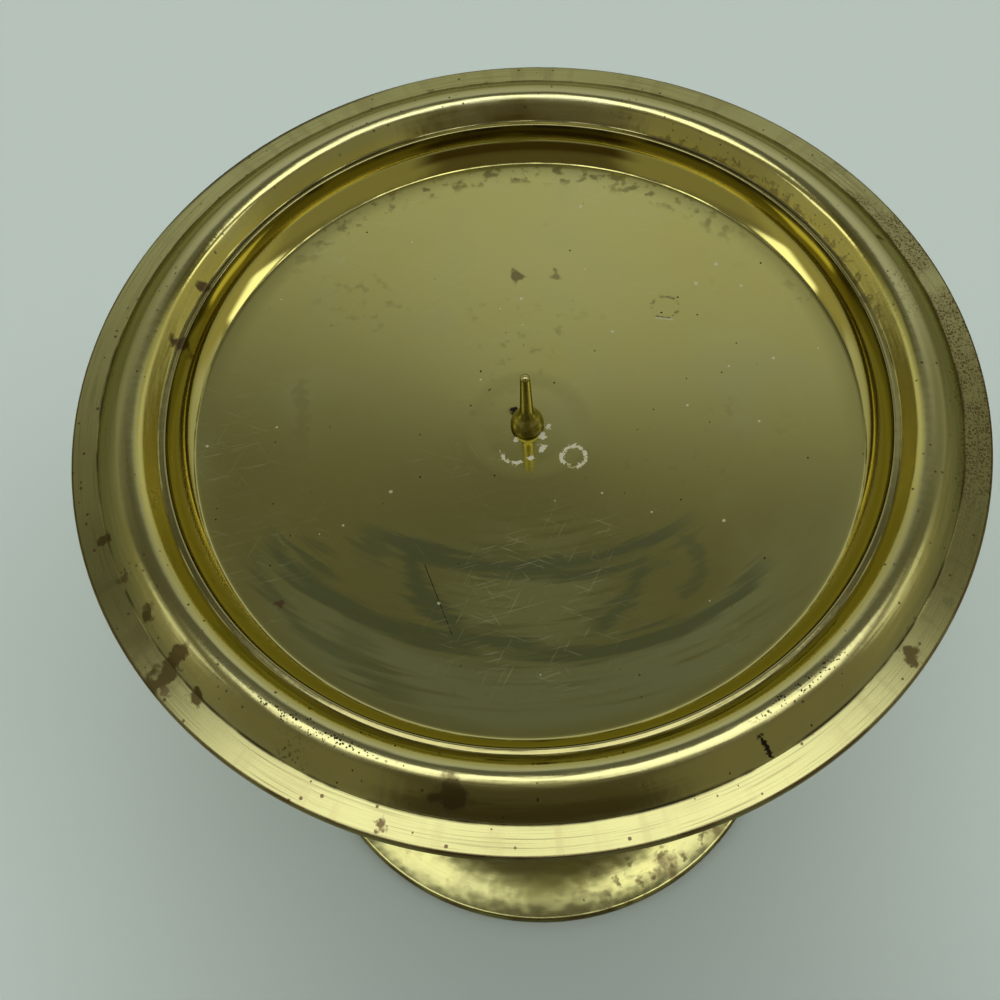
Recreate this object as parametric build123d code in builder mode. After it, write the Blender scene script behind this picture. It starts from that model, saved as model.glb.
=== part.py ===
"""Pricket candle stand: a turned brass drip pan and spike on a baluster stem and a hollow trumpet foot.

Millimetres, +Z up. The origin is the centre of the ring that the foot stands on.
"""

import os

from build123d import *

os.makedirs("parts", exist_ok=True)

# Drip pan: heights are counted from the brim's outer edge, widths inwards from it
pan_radius = 75.0
rim_height = 131.0
pan_wall = 2.0
brim_width = 4.6
brim_fall = 1.0
bead_outer_run = 6.59
bead_rise = 5.42
bead_inner_run = 3.51
bead_drop = 5.02
crest_round = 2.5
crease_round = 0.3
ledge_width = 1.2
ledge_fall = 0.24
ledge_round = 0.4
wall_run = 3.3
wall_drop = 6.44
wall_hollow = 0.4
cove_width = 3.8
cove_rise = 0.35
dish_rise = 0.8
flat_margin = 1.0
rim_round = 0.5

# Pricket: spike, bell collar and threaded tail
spike_height = 14.8
tip_radius = 0.8
tip_dome = 0.6
shaft_radius = 1.1
flare_height = 5.2
bell_radius = 2.0
bell_height = 2.7
collar_radius = 2.8
collar_edge = 0.5
tail_radius = 2.0
tail_length = 12.0
tail_chamfer = 0.4

# Stem: seat under the pan, knop between two rings, base flange, and a hollow neck above and below
seat_radius = 9.0
seat_edge = 2.5
neck_radius = 5.5
knop_radius = 10.5
knop_height = 15.0
ring_radius = 7.0
ring_width = 2.6
base_edge = 2.5
tap_run_out = 2.0
tenon_radius = 4.0
tenon_stick_out = 1.5

# Foot: trumpet shell with a flat crown that the stem stands on
foot_radius = 54.4
foot_height = 58.0
foot_wall = 2.0
foot_edge = 2.0
skirt_width = 16.4
skirt_rise = 6.2
foot_edge_round = 0.8
foot_rest_round = 0.4
crown_radius = 12.5
crown_round = 1.5

# Fastening inside the foot
washer_radius = 8.0
washer_thickness = 1.6
nut_across_flats = 13.0
nut_thickness = 6.5

# Clearances
thread_clearance = 0.05
hole_clearance = 0.2

# Places that follow from the sizes
brim_inner_radius = pan_radius - brim_width
apex_radius = brim_inner_radius - bead_outer_run
ledge_outer_radius = apex_radius - bead_inner_run
ledge_inner_radius = ledge_outer_radius - ledge_width
floor_radius = ledge_inner_radius - wall_run
dish_radius = floor_radius - cove_width
flat_floor_radius = seat_radius + flat_margin
brim_inner_z = rim_height + brim_fall
apex_z = brim_inner_z + bead_rise
ledge_outer_z = apex_z - bead_drop
ledge_z = ledge_outer_z + ledge_fall
floor_edge_z = ledge_z - wall_drop
dish_edge_z = floor_edge_z - cove_rise
floor_z = dish_edge_z - dish_rise
pan_hole_radius = tail_radius + hole_clearance
stem_top_z = floor_z - pan_wall
stem_base_radius = crown_radius - crown_round
tenon_hole_radius = tenon_radius + hole_clearance
crown_inside_z = foot_height - foot_wall
skirt_radius = foot_radius - skirt_width
skirt_z = foot_edge + skirt_rise
nut_top_z = crown_inside_z - washer_thickness
nut_bottom_z = nut_top_z - nut_thickness
tenon_bottom_z = nut_bottom_z - tenon_stick_out


# Drip pan: one sheet of even thickness, flat where the stem clamps it and dished around, trimmed upright
with BuildPart() as drip_pan:
    with BuildSketch(Plane.XZ) as pan_section:
        with BuildLine():
            flat_floor = Line((pan_hole_radius, floor_z), (flat_floor_radius, floor_z))
            dish = TangentArc(flat_floor @ 1, (dish_radius, dish_edge_z), tangent=flat_floor % 1)
            cove = TangentArc(dish @ 1, (floor_radius, floor_edge_z), tangent=dish % 1)
            pan_side = SagittaArc(cove @ 1, (ledge_inner_radius, ledge_z), -wall_hollow)
            brim_end = (pan_radius + pan_wall, rim_height - brim_fall * pan_wall / brim_width)
            FilletPolyline(
                pan_side @ 1,
                (ledge_outer_radius, ledge_outer_z),
                (apex_radius, apex_z),
                (brim_inner_radius, brim_inner_z),
                brim_end,
                radius=[crease_round, crest_round, crease_round],
            )
            offset(amount=pan_wall, side=Side.RIGHT)
        make_face()
        with Locations((pan_radius / 2, rim_height)):
            Rectangle(pan_radius, 2 * rim_height, mode=Mode.INTERSECT)
        fillet(pan_section.vertices().group_by(Axis.X)[-1], rim_round)
        ledge_corner = pan_section.vertices().sort_by_distance((ledge_inner_radius, ledge_z, 0))[0]
        fillet(ledge_corner, ledge_round)
    revolve(axis=Axis.Z)

# Pricket: blunt spike flaring to a bell collar, with the tail that clamps the pan to the stem
with BuildPart() as pricket:
    with BuildSketch(Plane.XZ):
        with BuildLine():
            tip = (0, floor_z + spike_height)
            dome = TangentArc(tip, (tip_radius, floor_z + spike_height - tip_dome), tangent=(1, 0))
            shaft = Line(dome @ 1, (shaft_radius, floor_z + flare_height))
            flare = TangentArc(shaft @ 1, (bell_radius, floor_z + bell_height), tangent=shaft % 1)
            bell = TangentArc(flare @ 1, (collar_radius, floor_z + collar_edge), tangent=flare % 1)
            Polyline(
                bell @ 1,
                (collar_radius, floor_z),
                (tail_radius, floor_z),
                (tail_radius, floor_z - tail_length + tail_chamfer),
                (tail_radius - tail_chamfer, floor_z - tail_length),
                (0, floor_z - tail_length),
                tip,
            )
        make_face()
    revolve(axis=Axis.Z)

# Stem: solid baluster, its necks hollowed between the ringed knop half way up and the two flanges
seat_under_z = stem_top_z - seat_edge
base_top_z = foot_height + base_edge
knop_z = (seat_under_z + base_top_z) / 2
knop_top_z = knop_z + knop_height / 2
knop_bottom_z = knop_z - knop_height / 2
with BuildPart() as stem:
    with BuildSketch(Plane.XZ):
        with BuildLine():
            Polyline(
                (0, tenon_bottom_z),
                (0, stem_top_z),
                (seat_radius, stem_top_z),
                (seat_radius, seat_under_z),
            )
            upper_ring = ThreePointArc(
                (neck_radius, knop_top_z),
                (ring_radius, knop_top_z + ring_width / 2),
                (neck_radius, knop_top_z + ring_width),
            )
            TangentArc(upper_ring @ 1, (seat_radius, seat_under_z), tangent=(0, 1))
            ThreePointArc((neck_radius, knop_top_z), (knop_radius, knop_z), (neck_radius, knop_bottom_z))
            lower_ring = ThreePointArc(
                (neck_radius, knop_bottom_z),
                (ring_radius, knop_bottom_z - ring_width / 2),
                (neck_radius, knop_bottom_z - ring_width),
            )
            TangentArc(lower_ring @ 1, (stem_base_radius, base_top_z), tangent=(0, -1))
            Polyline(
                (stem_base_radius, base_top_z),
                (stem_base_radius, foot_height),
                (tenon_radius, foot_height),
                (tenon_radius, tenon_bottom_z),
                (0, tenon_bottom_z),
            )
        make_face()
    revolve(axis=Axis.Z)
    with Locations(Plane.XY.offset(stem_top_z)):
        Hole(tail_radius + thread_clearance, depth=tail_length - pan_wall + tap_run_out)

# Foot: trumpet shell of even thickness, with a flat crown, a wide skirt and an upright edge on the table
with BuildPart() as foot:
    with BuildSketch(Plane.XZ) as foot_section:
        with BuildLine():
            crown = Line((tenon_hole_radius, foot_height), (crown_radius, foot_height))
            trumpet = TangentArc(crown @ 1, (skirt_radius, skirt_z), tangent=(0, -1))
            skirt = TangentArc(trumpet @ 1, (foot_radius, foot_edge), tangent=trumpet % 1)
            Line(skirt @ 1, (foot_radius, 0))
            offset(amount=foot_wall, side=Side.RIGHT)
        make_face()
        for corner, size in (
            ((crown_radius, foot_height, 0), crown_round),
            ((foot_radius, foot_edge, 0), foot_edge_round),
            ((foot_radius, 0, 0), foot_rest_round),
        ):
            fillet(foot_section.vertices().sort_by_distance(corner)[0], size)
    revolve(axis=Axis.Z)

# Foot washer: spreads the nut's load under the crown
with BuildPart() as foot_washer:
    with BuildSketch(Plane.XY.offset(nut_top_z)):
        Circle(washer_radius)
        Circle(tenon_hole_radius, mode=Mode.SUBTRACT)
    extrude(amount=washer_thickness)

# Foot nut: hexagon nut on the stem's tenon
with BuildPart() as foot_nut:
    with BuildSketch(Plane.XY.offset(nut_bottom_z)):
        RegularPolygon(nut_across_flats / 2, 6, major_radius=False)
        Circle(tenon_radius + thread_clearance, mode=Mode.SUBTRACT)
    extrude(amount=nut_thickness)

pieces = {
    "drip_pan": drip_pan,
    "pricket": pricket,
    "stem": stem,
    "foot": foot,
    "foot_washer": foot_washer,
    "foot_nut": foot_nut,
}
for name, piece in pieces.items():
    piece.part.label = name
    export_step(piece.part, f"parts/{name}.step")
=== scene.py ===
"""Looks of a pricket candle stand: smooth turned pieces and aged brass finishes, in metres."""

import logging
import math
from abc import ABC, abstractmethod
from dataclasses import dataclass
from enum import Enum
from functools import reduce
from itertools import pairwise

import bpy
from mathutils import Matrix, Vector


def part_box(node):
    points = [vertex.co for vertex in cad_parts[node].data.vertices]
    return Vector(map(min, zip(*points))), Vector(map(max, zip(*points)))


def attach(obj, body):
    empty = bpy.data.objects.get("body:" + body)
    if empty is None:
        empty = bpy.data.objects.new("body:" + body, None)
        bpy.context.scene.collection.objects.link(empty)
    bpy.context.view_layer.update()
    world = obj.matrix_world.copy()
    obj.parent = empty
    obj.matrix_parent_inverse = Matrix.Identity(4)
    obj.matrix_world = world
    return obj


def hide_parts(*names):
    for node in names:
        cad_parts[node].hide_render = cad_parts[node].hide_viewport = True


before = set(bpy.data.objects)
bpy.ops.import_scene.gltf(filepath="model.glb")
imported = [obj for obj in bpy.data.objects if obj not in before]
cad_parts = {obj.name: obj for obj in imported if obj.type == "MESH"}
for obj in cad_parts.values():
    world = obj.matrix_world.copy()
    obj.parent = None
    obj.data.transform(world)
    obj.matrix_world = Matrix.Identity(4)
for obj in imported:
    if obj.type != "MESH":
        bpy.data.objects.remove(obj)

LOG = logging.getLogger("candle_stand")
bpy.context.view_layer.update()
BODY = "root"

MM = 0.001

# Outlines: what holds a long run flat, the steps of arcs, and how a sheet's other side keeps off the first
HOLD = 0.25 * MM
LONG_RUN = 6 * HOLD
ARC_STEPS = 16
ROUND_STEPS = 5
STRAIGHT_BELOW = 1e-6
KEEP_OFF = 0.985

# Turning: faces round a wide or a slim piece, and how its seam and its shading close
WIDE_STEPS = 256
SLIM_STEPS = 96
MERGE_GAP = 0.001 * MM
SMOOTH_BELOW = math.radians(35)

# Sums of vectors that come out as a number
NUMBER_SUMS = {"DISTANCE", "LENGTH", "DOT_PRODUCT"}

# Patterns on the metal: layers of a noise, the least speck as a share of the largest, scratches per metre
FINE_LAYERS = 3.0
SPECK_LEAST = 0.3
SCRATCHES_ALONG = 140
SCRATCHES_ACROSS = 5400
SCRATCH_SOFT = 0.06

# Edges of marks: shares of half a mark's width, levels of the grain, degrees in which a part ring ends
GRAIN_FIT = 0.9
EDGE_SWAY = 2.4
CORE = 0.5
STREAK_CORE = 0.15
STREAK_RAGGED = 1.5
GAP_SOFT = 0.04
ARC_FADE = 12.0

# Tints of brass at a grazing angle and of the room's walls
BRASS_GRAZE = (0.72, 0.68, 0.44)
ROOM = (1.0, 0.98, 0.62)

Point = tuple[float, float]
Triple = tuple[float, float, float]
Color = Triple
Sector = Triple
Piece = bpy.types.Object
Material = bpy.types.Material
Socket = bpy.types.NodeSocket
Value = float | Socket
Inputs = dict[str | int, Value | tuple[float, ...]]


class Outline:
    """Half section of a turned piece, drawn point by point as radius and height."""

    def __init__(self, radius: float, height: float) -> None:
        """Starts the outline at one point."""
        self.points, self.rounds = [Vector((radius, height))], [0.0]
        self.way = Vector((1.0, 0.0))

    def line(self, radius: float, height: float, rounding: float = 0.0) -> "Outline":
        """Adds a straight run.

        Args:
            radius: Radius at the run's end.
            height: Height at the run's end.
            rounding: Radius of the corner made at the run's end.

        Returns:
            The outline itself, so that runs can be chained.
        """
        end = Vector((radius, height))
        self.way = (end - self.points[-1]).normalized()
        self.points.append(end)
        self.rounds.append(rounding)
        return self

    def arc(
        self,
        radius: float,
        height: float,
        heading: Point | Vector | None = None,
        steps: int = ARC_STEPS,
        arriving: bool = False,
    ) -> "Outline":
        """Adds an arc.

        Args:
            radius: Radius at the arc's end.
            height: Height at the arc's end.
            heading: Direction in which the arc leaves, or None to go on smoothly from the run before.
            steps: Straight steps that stand for the arc.
            arriving: Whether the heading is the one at the arc's end instead.

        Returns:
            The outline itself.
        """
        start, end = self.points[-1], Vector((radius, height))
        leave = (Vector(heading) if heading else self.way).normalized()
        if arriving:
            leave = other_heading(leave, end - start)
        for point in tangent_arc(start, end, leave, steps):
            self.line(*point)
        self.way = other_heading(leave, end - start)
        return self

    def bow(self, radius: float, height: float, sag: float) -> "Outline":
        """Adds an arc that stands a stated distance off its chord, to the right of travel if positive."""
        chord = Vector((radius, height)) - self.points[-1]
        return self.arc(radius, height, Matrix.Rotation(-2 * math.atan2(2 * sag, chord.length), 2) @ chord)

    def path(self) -> list[Vector]:
        """Gives the finished chain of points, with its corners rounded and its straight runs held flat.

        Returns:
            Points from the outline's start to its end.
        """
        rounded: list[Vector] = []
        last = len(self.points) - 1
        for index, (corner, rounding) in enumerate(zip(self.points, self.rounds)):
            if rounding and 0 < index < last:
                rounded += round_corner(self.points[index - 1], corner, self.points[index + 1], rounding)
            else:
                rounded.append(corner)
        held: list[Vector] = [rounded[0]]
        for start, end in pairwise(rounded):
            run = end - start
            if run.length > LONG_RUN:
                held += [start + run.normalized() * HOLD, end - run.normalized() * HOLD]
            held.append(end)
        return held

    def sheet(self, wall: float, rounding: float, *edge: Triple) -> list[Vector]:
        """Closes the section of a sheet, whose drawn side the outline is.

        Args:
            wall: Thickness of the sheet, to the right of the drawn side.
            rounding: Radius of the corner at the end of the drawn side.
            *edge: Runs across the sheet's edge, each a radius, a height and a rounding.

        Returns:
            Points of the closed section.
        """
        drawn = self.path()
        back = reversed(other_side(drawn, wall))
        section = Outline(*drawn[0])
        for run in (*drawn[1:-1], (*drawn[-1], rounding), *edge, *back, drawn[0]):
            section.line(*run)
        return section.path()


def other_heading(heading: Vector, chord: Vector) -> Vector:
    """Gives an arc's heading at one end from its heading at the other and its chord."""
    along = chord.normalized()
    return 2 * heading.dot(along) * along - heading


def tangent_arc(start: Vector, end: Vector, heading: Vector, steps: int) -> list[Vector]:
    """Steps along the arc that leaves start along heading and ends at end.

    Args:
        start: First point, left out of the result.
        end: Last point.
        heading: Direction at the start.
        steps: Number of points wanted.

    Returns:
        Points after the start, up to and with the end.
    """
    along = heading.normalized()
    left = Vector((-along.y, along.x))
    chord = end - start
    turn = 2 * math.atan2(chord.dot(left), chord.dot(along))
    if abs(turn) < STRAIGHT_BELOW:
        return [end]
    bend = chord.length_squared / (2 * chord.dot(left))
    turns = (turn * step / steps for step in range(1, steps))
    return [start + bend * (along * math.sin(t) + left * (1 - math.cos(t))) for t in turns] + [end]


def round_corner(before: Vector, corner: Vector, after: Vector, radius: float) -> list[Vector]:
    """Rounds one corner of a chain of points.

    Args:
        before: Point before the corner.
        corner: The corner itself.
        after: Point after the corner.
        radius: Radius of the rounding.

    Returns:
        Points of the rounding, in order.
    """
    back, on = (before - corner).normalized(), (after - corner).normalized()
    cut = radius * math.tan((math.pi - back.angle(on)) / 2)
    first = corner + back * cut
    return [first] + tangent_arc(first, corner + on * cut, -back, ROUND_STEPS)


def other_side(drawn: list[Vector], wall: float) -> list[Vector]:
    """Offsets a chain of points to its right, and leaves out what would cross itself.

    Args:
        drawn: The drawn side of a sheet.
        wall: Thickness of the sheet.

    Returns:
        Points of the sheet's other side, in the same order.
    """
    moved: list[Vector] = []
    for index, point in enumerate(drawn):
        along = drawn[min(index + 1, len(drawn) - 1)] - drawn[max(index - 1, 0)]
        place = point + Vector((along.y, -along.x)).normalized() * wall
        if min((place - other).length for other in drawn) > KEEP_OFF * wall:
            moved.append(place)
    return moved


class Lathe:
    """Turns half sections into closed round pieces with Blender's own edit tools."""

    def __init__(self, steps: int) -> None:
        """Sets how many faces go round a piece."""
        self.steps = steps

    def turn(self, name: str, path: list[Vector]) -> Piece:
        """Draws a half section from one vertex, spins it about Z and closes its seam.

        Args:
            name: Name of the new piece.
            path: Points of the half section, as radius and height.

        Returns:
            The finished piece, at the origin.
        """
        bpy.ops.object.select_all(action="DESELECT")
        bpy.ops.mesh.primitive_plane_add(size=MM)
        piece = bpy.context.object
        piece.name = name
        bpy.ops.object.mode_set(mode="EDIT")
        bpy.ops.mesh.select_all(action="SELECT")
        bpy.ops.mesh.merge(type="CENTER")
        bpy.ops.transform.translate(value=(path[0].x, 0, path[0].y))
        for start, end in pairwise(path):
            step = (end.x - start.x, 0, end.y - start.y)
            bpy.ops.mesh.extrude_region_move(TRANSFORM_OT_translate={"value": step})
        bpy.ops.mesh.select_all(action="SELECT")
        bpy.ops.mesh.spin(steps=self.steps, angle=math.tau, center=(0, 0, 0), axis=(0, 0, 1))
        bpy.ops.mesh.select_all(action="SELECT")
        bpy.ops.mesh.remove_doubles(threshold=MERGE_GAP)
        bpy.ops.mesh.normals_make_consistent(inside=False)
        bpy.ops.object.mode_set(mode="OBJECT")
        bpy.ops.object.shade_smooth_by_angle(angle=SMOOTH_BELOW)
        return piece


def rgba(colour: Color | Socket) -> tuple[float, ...] | Socket:
    """Gives a colour with full cover, or a socket as it is."""
    return colour if isinstance(colour, Socket) else (*colour, 1)


class NodeBoard:
    """Adds nodes to one material or world and links them."""

    def __init__(self, tree: bpy.types.NodeTree) -> None:
        """Starts from an empty node tree."""
        self.tree = tree
        tree.nodes.clear()

    def node(self, kind: str, inputs: Inputs, **settings: object) -> bpy.types.Node:
        """Adds a node, sets its options and feeds its sockets.

        Args:
            kind: Blender's name for the node, after the word that all of them start with.
            inputs: Source or own value of each socket, by its name or its place.
            **settings: Options of the node, by name.

        Returns:
            The new node.
        """
        made = self.tree.nodes.new(f"ShaderNode{kind}")
        for key, value in settings.items():
            setattr(made, key, value)
        for key, value in inputs.items():
            if isinstance(value, Socket):
                self.tree.links.new(value, made.inputs[key])
            else:
                made.inputs[key].default_value = value
        return made

    def math(self, operation: str, *values: Value) -> Socket:
        """Works out a number from others, by the name of a sum such as MULTIPLY."""
        return self.node("Math", dict(enumerate(values)), operation=operation).outputs[0]

    def vector(self, operation: str, *values: Value | Triple) -> Socket:
        """Works out a vector, or a number, from vectors, by the name of a sum such as DISTANCE."""
        made = self.node("VectorMath", dict(enumerate(values)), operation=operation)
        return made.outputs["Value" if operation in NUMBER_SUMS else "Vector"]

    def times(self, *shares: Value) -> Value:
        """Multiplies shares together."""
        return reduce(lambda product, share: self.math("MULTIPLY", product, share), shares)

    def most(self, *shares: Value) -> Value:
        """Gives the greatest of some shares."""
        return reduce(lambda greatest, share: self.math("MAXIMUM", greatest, share), shares)

    def fade(self, value: Socket, start: float, end: float, top: float = 1.0) -> Socket:
        """Rises smoothly from 0 to a top as a number goes from start to end."""
        ends = {"Value": value, "From Min": start, "From Max": end, "To Max": top}
        return self.node("MapRange", ends, interpolation_type="SMOOTHSTEP").outputs["Result"]

    def span(self, value: Socket, first: float, last: float, soft: float) -> Socket:
        """Gives 1 while a number is between two others, with edges of a soft half width."""
        enter = self.fade(value, first - soft, first + soft)
        return self.times(enter, self.fade(value, last + soft, last - soft))

    def noise(self, vector: Socket, scale: float, detail: float) -> Socket:
        """Gives a soft random pattern, about 0 to 1, with a number of blotches per metre."""
        return self.node("TexNoise", {"Vector": vector, "Scale": scale, "Detail": detail}).outputs["Fac"]

    def mix(self, share: Value, low: Color | Socket, high: Color | Socket) -> Socket:
        """Blends two colours by the share of the second."""
        ends = {"Factor": share, 6: rgba(low), 7: rgba(high)}
        return self.node("Mix", ends, data_type="RGBA").outputs[2]


class Coat(Enum):
    """Things that lie on the metal: colour, roughness and share of metal."""

    WARM = ((0.385, 0.340, 0.100), 0.12, 1.0)
    GOLD = ((0.370, 0.315, 0.088), 0.05, 1.0)
    # painted sheen: brighter golden brass for the inner slope's left and right
    AMBER = ((0.520, 0.445, 0.120), 0.24, 1.0)
    HAZE = ((0.358, 0.346, 0.136), 0.19, 1.0)
    DULL = ((0.345, 0.315, 0.132), 0.20, 1.0)
    OLIVE = ((0.180, 0.160, 0.045), 0.26, 1.0)
    FILM = ((0.235, 0.205, 0.080), 0.22, 1.0)
    SATIN = ((0.305, 0.283, 0.116), 0.30, 1.0)
    SMEAR = ((0.190, 0.205, 0.085), 0.14, 1.0)
    STAIN = ((0.075, 0.056, 0.018), 0.34, 1.0)
    TARNISH = ((0.100, 0.068, 0.028), 0.32, 1.0)
    GRIME = ((0.020, 0.014, 0.008), 0.50, 1.0)
    WAX = ((0.43, 0.40, 0.27), 0.55, 0.0)
    # pale scuffs, and a painted reflection on the bead's back inner slope
    SCUFF = ((0.56, 0.52, 0.28), 0.30, 1.0)
    RUST = ((0.16, 0.085, 0.040), 0.75, 0.3)

    def __init__(self, colour: Color, roughness: float, metal: float) -> None:
        """Names the coat's three values."""
        self.colour = colour
        self.roughness, self.metal = roughness, metal


class Space(Enum):
    """Spaces that specks are scattered in: the flat for a lying piece, the solid for an upright one."""

    FLAT = "2D"
    SOLID = "3D"


class Surface(NodeBoard):
    """Node board of one finish, whose colour, roughness, metal and height are built up in layers."""

    def __init__(
        self, name: str, colour: Color, roughness: float, metal: float = 1.0, graze: Color = (1.0, 1.0, 1.0)
    ) -> None:
        """Starts from one bare surface.

        Args:
            name: Name of the material.
            colour: Colour of the bare surface.
            roughness: Roughness of the bare surface.
            metal: 1 for bare metal, 0 for anything else.
            graze: Tint of what is mirrored at a grazing angle.
        """
        self.material = bpy.data.materials.new(name)
        self.material.use_nodes = True
        super().__init__(self.material.node_tree)
        self.colour: Color | Socket = colour
        self.roughness: Value = roughness
        self.metal: Value = metal
        self.graze = graze
        self.height: Value = 0.0
        self.brush: Value = 0.5
        self.grains: dict[Point, Socket] = {}
        self.place = self.node("TexCoord", {}).outputs["Object"]
        self.flat = self.vector("MULTIPLY", self.place, (1, 1, 0))
        self.radius = self.vector("LENGTH", self.flat)
        self.around = self.vector("NORMALIZE", self.flat)
        self.z = self.vector("DOT_PRODUCT", self.place, (0, 0, 1))

    def blend(self, share: Value, low: Value, high: Value) -> Socket:
        """Goes from one number to another by a share."""
        return self.math("MULTIPLY_ADD", share, self.math("SUBTRACT", high, low), low)

    def band(self, first: float, last: float, soft: float) -> Socket:
        """Gives 1 between two radii, with edges of a soft half width."""
        return self.span(self.radius, first, last, soft)

    def within(self, last: float, soft: float) -> Socket:
        """Gives 1 up to a radius, with an edge of a soft half width."""
        return self.fade(self.radius, last + soft, last - soft)

    def beyond(self, first: float, soft: float) -> Socket:
        """Gives 1 from a radius on, with an edge of a soft half width."""
        return self.fade(self.radius, first - soft, first + soft)

    def sector(self, way: Socket, first: float, last: float, soft: float) -> Socket:
        """Gives 1 between two bearings in degrees, with soft edges.

        Args:
            way: Unit vector from the middle of the sector.
            first: Bearing where the sector starts, counted from +X towards +Y.
            last: Bearing where it ends.
            soft: Width of each edge, inside the sector.

        Returns:
            The socket that holds the share.
        """
        middle, half = math.radians((first + last) / 2), math.radians((last - first) / 2)
        lean = self.vector("DOT_PRODUCT", way, (math.cos(middle), math.sin(middle), 0))
        return self.fade(lean, math.cos(half), math.cos(half - math.radians(soft)))

    def facing(self, *sectors: Sector) -> Value:
        """Gives 1 in some sectors round the axis, each a first and a last bearing and a soft edge."""
        return self.most(*(self.sector(self.around, *sector) for sector in sectors))

    def seam(self, off: Socket, at: float, half_width: float) -> Socket:
        """Gives a line: 1 where a number is at its middle, and 0 from half its width away."""
        away = self.math("ABSOLUTE", self.math("SUBTRACT", off, at))
        return self.fade(away, half_width, 0.0)

    def grain(self, scale: float, detail: float = FINE_LAYERS) -> Socket:
        """Gives a soft random pattern in the surface's own place, made once for each scale.

        Args:
            scale: Blotches per metre.
            detail: How many finer layers it has.

        Returns:
            The socket that holds the pattern, about 0 to 1.
        """
        key = (scale, detail)
        if key not in self.grains:
            self.grains[key] = self.noise(self.place, scale, detail)
        return self.grains[key]

    def blotches(self, scale: float, first: float, last: float, detail: float = FINE_LAYERS) -> Socket:
        """Gives random blotches that start at one level of the grain and are full at another."""
        return self.fade(self.grain(scale, detail), first, last)

    def specks(self, scale: float, size: float, chance: float, space: Space = Space.FLAT) -> Socket:
        """Scatters small round specks.

        Args:
            scale: Cells per metre, each with room for one speck.
            size: Radius of a speck, as a share of its cell.
            chance: Share of the cells that hold a speck.
            space: Space that the cells fill.

        Returns:
            The socket that holds the share.
        """
        where = {"Scale": scale, "Vector": self.place}
        cells = self.node("TexVoronoi", where, voronoi_dimensions=space.value)
        draw = self.node("SeparateColor", {0: cells.outputs["Color"]})
        held = self.math("LESS_THAN", draw.outputs[0], chance)
        reach = self.math("MULTIPLY_ADD", draw.outputs[1], (1 - SPECK_LEAST) * size, SPECK_LEAST * size)
        inside = self.math("SUBTRACT", reach, cells.outputs["Distance"])
        return self.times(held, self.fade(inside, -0.25 * size, 0.1 * size))

    def turned(self, across: Socket, scale: float) -> Socket:
        """Gives the random fine lines that a turning tool leaves, a number of them per metre."""
        lines = {"W": across, "Scale": scale, "Detail": FINE_LAYERS}
        return self.node("TexNoise", lines, noise_dimensions="1D").outputs["Fac"]

    def scratches(self, turn: float, first: float) -> Socket:
        """Gives thin straight scratches in one direction.

        Args:
            turn: Direction in degrees.
            first: Noise level where a scratch starts.

        Returns:
            The socket that holds the share.
        """
        scale = (1 / SCRATCHES_ALONG, 1 / SCRATCHES_ACROSS, 1 / SCRATCHES_ALONG)
        drawn = {"Vector": self.place, "Rotation": (0, 0, math.radians(turn)), "Scale": scale}
        place = self.node("Mapping", drawn, vector_type="TEXTURE").outputs[0]
        return self.fade(self.noise(place, 1.0, 1.0), first, first + SCRATCH_SOFT)

    def rays(self, per_turn: float, per_metre: float, middle: Point = (0, 0), detail: float = 2.0) -> Socket:
        """Gives random short lines that run out from a point, or round it.

        Args:
            per_turn: Blotches in one turn round the point.
            per_metre: Blotches in one metre out from it.
            middle: The point, in the flat.
            detail: How many finer layers the pattern has.

        Returns:
            The socket that holds the pattern, about 0 to 1.
        """
        spread = per_turn / math.tau
        off = self.vector("SUBTRACT", self.flat, (*middle, 0))
        out = self.vector("MULTIPLY", self.vector("LENGTH", off), (0, 0, per_metre))
        place = self.vector("MULTIPLY_ADD", self.vector("NORMALIZE", off), (spread, spread, 0), out)
        return self.noise(place, 1.0, detail)

    def downward(self, start: float, end: float) -> Socket:
        """Gives 1 where the surface looks down, from one upward share of its direction to another."""
        way = self.node("NewGeometry", {}).outputs["Normal"]
        return self.fade(self.vector("DOT_PRODUCT", way, (0, 0, 1)), start, end)

    def lay(self, coat: Coat, *shares: Value) -> None:
        """Lays a coat over what is there.

        Args:
            coat: What the coat is.
            *shares: Shares whose product is how much of the coat shows.
        """
        share = self.times(*shares)
        self.colour = self.mix(share, self.colour, coat.colour)
        self.roughness = self.blend(share, self.roughness, coat.roughness)
        if coat.metal != 1.0:
            self.metal = self.blend(share, self.metal, coat.metal)

    def emboss(self, rise: float, *patterns: Value) -> None:
        """Raises the surface by some patterns, in metres where their product is 1."""
        self.height = self.math("MULTIPLY_ADD", self.times(*patterns), rise, self.height)

    def finish(self) -> Material:
        """Links the layers to a shader.

        Returns:
            The finished material.
        """
        layers = {"Base Color": rgba(self.colour), "Roughness": self.roughness, "Metallic": self.metal}
        layers["Specular Tint"] = rgba(self.graze)
        if isinstance(self.height, Socket):
            layers["Normal"] = self.node("Bump", {"Distance": 1.0, "Height": self.height}).outputs["Normal"]
        shader = self.node("BsdfPrincipled", layers)
        self.node("OutputMaterial", {"Surface": shader.outputs["BSDF"]})
        return self.material


class Shape(Enum):
    """Outlines that a mark on the pan can have."""

    RING = "ring"
    BLOT = "blot"
    STREAK = "streak"


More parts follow.
